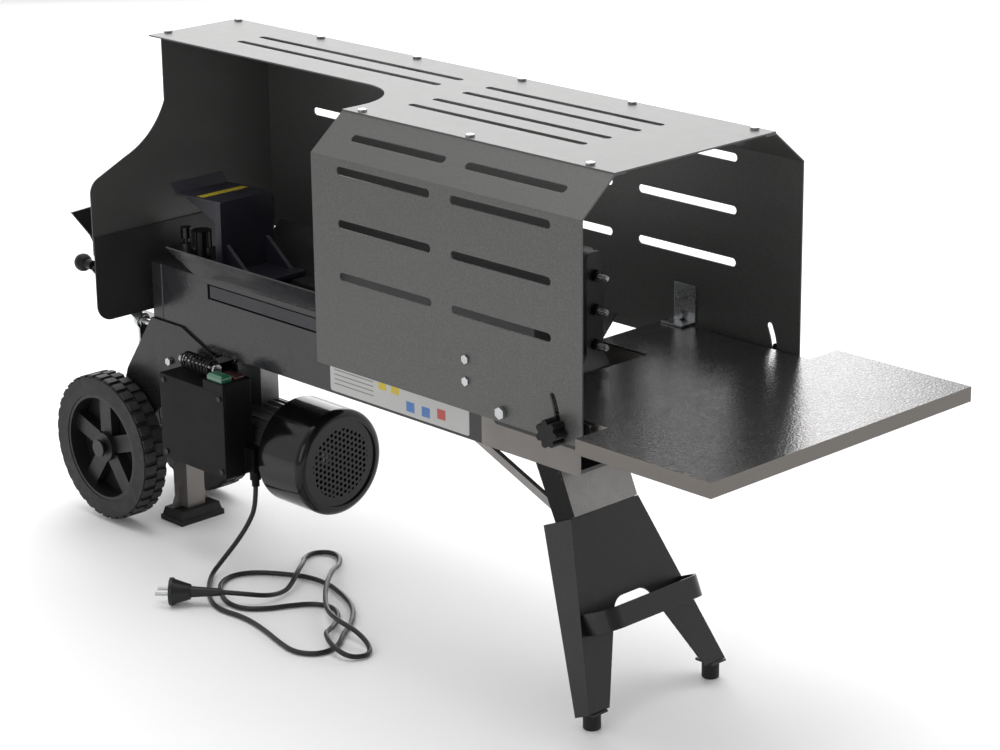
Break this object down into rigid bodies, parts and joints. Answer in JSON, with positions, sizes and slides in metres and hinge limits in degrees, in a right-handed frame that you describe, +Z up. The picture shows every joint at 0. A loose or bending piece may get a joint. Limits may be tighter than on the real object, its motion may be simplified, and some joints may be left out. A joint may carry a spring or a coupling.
{
  "type": "log splitter",
  "caption": "Wheeled electric hydraulic log splitter: sliding pusher, fixed wedge, tilting slotted guard, outfeed table, motor, pump, valve lever, switch box and mains cord.",
  "frame": {"origin": "on the ground, under the middle of the machine without its cord", "axes": "+X from the wheels towards the outfeed table, +Y towards the rear side, +Z up"},
  "size_m": [1.436, 0.4906, 0.734],
  "materials": {
    "frame_paint": "glossy dark graphite powder coat",
    "plate_paint": "satin brownish grey",
    "table_paint": "satin grey with a fine orange peel",
    "guard_paint": "satin graphite powder coat",
    "ram_paint": "satin blue-black",
    "wedge_paint": "satin black, bare at the edge",
    "leg_paint": "satin black",
    "zinc": "bright zinc plate",
    "steel": "ground steel",
    "cast": "painted casting",
    "motor_alloy": "dark painted aluminium",
    "cowl_gloss": "glossy black",
    "box_plastic": "fine textured black",
    "knob_plastic": "black",
    "rim_plastic": "black moulded",
    "tyre_rubber": "black tread",
    "foot_rubber": "black",
    "cord_rubber": "black cord sheath",
    "button_green": "translucent green",
    "button_dark": "dark red",
    "label_film": "plain printed film"
  },
  "bodies": {
    "frame": {"beam_channel": "frame_paint", "beam_top_plate": "frame_paint", "cylinder_end_block": "frame_paint", "log_trough": "frame_paint", "side_label": "label_film", "cylinder_tube": "steel", "cylinder_gland": "steel", "splitting_wedge": "wedge_paint", "wedge_back_plate": "wedge_paint", "outfeed_table": "table_paint", "side_plates": "plate_paint", "table_frame": "leg_paint", "pivot_pins": "zinc", "leg_plate": "leg_paint", "leg_bracket": "plate_paint", "carry_strap": "leg_paint", "rubber_feet": "foot_rubber", "rear_post": "plate_paint", "wheel_brackets": "leg_paint", "wheel_axle": "leg_paint", "motor_housing": "motor_alloy", "fan_cowl": "cowl_gloss", "pump_body": "cast", "pressure_pipe": "zinc", "valve_block": "cast", "lever_guard": "leg_paint", "frame_bolts": "zinc", "switch_box": "box_plastic", "switch_box_lid": "box_plastic", "mains_cord": "cord_rubber", "mains_plug": "cord_rubber", "plug_pins": "zinc"},
    "ram": {"piston": "steel", "piston_rod": "steel", "ram_carriage": "ram_paint", "pusher_head": "ram_paint", "pusher_tray": "ram_paint"},
    "guard": {"guard_front_panel": "guard_paint", "guard_rear_panel": "guard_paint", "guard_top_sheet": "guard_paint", "guard_end_panel": "guard_paint", "hand_guard": "guard_paint", "guard_screws": "zinc", "guard_stops": "zinc"},
    "front_knob": {"clamp_knob_front": "knob_plastic"},
    "rear_knob": {"clamp_knob_rear": "knob_plastic"},
    "front_wheel": {"tyre_front": "tyre_rubber", "rim_front": "rim_plastic"},
    "rear_wheel": {"tyre_rear": "tyre_rubber", "rim_rear": "rim_plastic"},
    "rotor": {"motor_rotor": "steel", "cooling_fan": "rim_plastic", "pump_drive_gear": "steel"},
    "driven_gear": {"pump_driven_gear": "steel"},
    "lever": {"control_lever": "zinc", "lever_grip": "knob_plastic"},
    "spool": {"valve_spool": "steel"},
    "start": {"start_button": "button_green"},
    "stop": {"stop_button": "button_dark"},
    "filler_cap": {"oil_cap": "knob_plastic"}
  },
  "joints": [
    {"name": "ram_slide", "type": "slide", "parent": "frame", "child": "ram", "axis": [1, 0, 0], "range_m": [0, 0.35], "stiffness_N_per_m": 60, "springref_m": -0.5},
    {"name": "guard_hinge", "type": "hinge", "parent": "frame", "child": "guard", "pos_m": [0.347, 0, 0.422], "axis": [0, 1, 0], "range_deg": [0, 25]},
    {"name": "front_knob_turn", "type": "hinge", "parent": "frame", "child": "front_knob", "pos_m": [0.441, -0.205, 0.422], "axis": [0, 1, 0], "range_deg": [0, 180]},
    {"name": "rear_knob_turn", "type": "hinge", "parent": "frame", "child": "rear_knob", "pos_m": [0.441, 0.205, 0.422], "axis": [0, 1, 0], "range_deg": [0, 180]},
    {"name": "front_wheel_spin", "type": "hinge", "parent": "frame", "child": "front_wheel", "pos_m": [-0.608, -0.085, 0.116], "axis": [0, 1, 0], "continuous": true},
    {"name": "rear_wheel_spin", "type": "hinge", "parent": "frame", "child": "rear_wheel", "pos_m": [-0.608, 0.085, 0.116], "axis": [0, 1, 0], "continuous": true},
    {"name": "rotor_spin", "type": "hinge", "parent": "frame", "child": "rotor", "pos_m": [-0.34, 0, 0.172], "axis": [1, 0, 0], "continuous": true},
    {"name": "driven_gear_spin", "type": "hinge", "parent": "frame", "child": "driven_gear", "pos_m": [-0.443, 0, 0.202], "axis": [1, 0, 0], "continuous": true},
    {"name": "lever_hinge", "type": "hinge", "parent": "frame", "child": "lever", "pos_m": [-0.57, -0.044, 0.308], "axis": [1, 0, 0], "range_deg": [0, 12], "stiffness_Nm_per_rad": 2, "springref_deg": -11.46},
    {"name": "spool_slide", "type": "slide", "parent": "frame", "child": "spool", "axis": [0, 1, 0], "range_m": [0, 0.008]},
    {"name": "start_press", "type": "slide", "parent": "frame", "child": "start", "axis": [0, 0, -1], "range_m": [0, 0.003], "stiffness_N_per_m": 400},
    {"name": "stop_press", "type": "slide", "parent": "frame", "child": "stop", "axis": [0, 0, -1], "range_m": [0, 0.003], "stiffness_N_per_m": 400},
    {"name": "filler_cap_turn", "type": "hinge", "parent": "frame", "child": "filler_cap", "pos_m": [-0.478, 0, 0.43], "axis": [0, 0, 1], "range_deg": [0, 360]}
  ],
  "couplings": [
    {"joint": "driven_gear_spin", "follows": "rotor_spin", "ratio": -1},
    {"joint": "spool_slide", "follows": "lever_hinge", "m_per_rad": 0.036}
  ]
}
